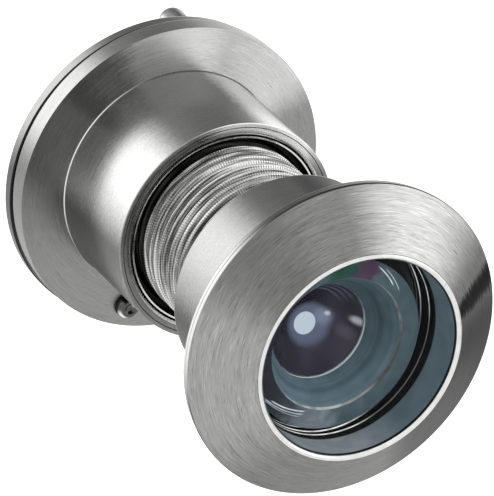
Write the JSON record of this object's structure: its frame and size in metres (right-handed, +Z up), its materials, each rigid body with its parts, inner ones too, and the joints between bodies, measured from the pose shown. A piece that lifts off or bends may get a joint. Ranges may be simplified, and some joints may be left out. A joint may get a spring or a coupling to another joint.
{
  "type": "door viewer",
  "caption": "Wide-angle door viewer: a lens barrel and a flanged sleeve screwed together through a door, with a swinging privacy cover.",
  "frame": {"origin": "middle of the overall length, on the optical axis, with the two halves set for a 41 mm door", "axes": "Y is the optical axis: -Y looks out through the large lens, +Y is the room side with the privacy cover; +Z is up, towards the cover's knob"},
  "size_m": [0.038, 0.0558, 0.038],
  "materials": {
    "satin_nickel": "satin nickel, fine brushing in circles about the axis",
    "polished_nickel": "bright polished nickel",
    "black_anodised": "black anodised, semi-matte",
    "black_rubber": "matte",
    "coated_glass": "polished optical glass with an anti-reflection coating"
  },
  "bodies": {
    "room_half": {"inner_sleeve": "satin_nickel", "pivot_rivet": "polished_nickel", "pivot_washer": "polished_nickel"},
    "lens_stack": {"objective_lens": "coated_glass", "lens_seat_ring": "black_anodised", "second_lens": "coated_glass", "third_lens": "coated_glass", "front_spacer_tube": "black_anodised", "aperture_stop": "black_anodised", "rear_spacer_tube": "black_anodised", "eyepiece_lens": "coated_glass"},
    "street_half": {"outer_barrel": "satin_nickel", "lens_bezel_ring": "polished_nickel", "front_seal": "black_rubber", "retaining_ring": "black_anodised"},
    "cover": {"privacy_cover": "satin_nickel", "cover_knob": "polished_nickel"}
  },
  "joints": [
    {"name": "thread_travel", "type": "slide", "parent": "room_half", "child": "lens_stack", "axis": [0, 1, 0], "range_m": [-0.005, 0.00625]},
    {"name": "thread_turn", "type": "hinge", "parent": "lens_stack", "child": "street_half", "pos_m": [0, 0, 0], "axis": [0, 1, 0], "range_deg": [-1440, 1800]},
    {"name": "cover_swing", "type": "hinge", "parent": "room_half", "child": "cover", "pos_m": [-0.00574, 0, -0.01525], "axis": [0, 1, 0], "continuous": true}
  ],
  "couplings": [
    {"joint": "thread_travel", "follows": "thread_turn", "m_per_rad": 0.00019894}
  ]
}
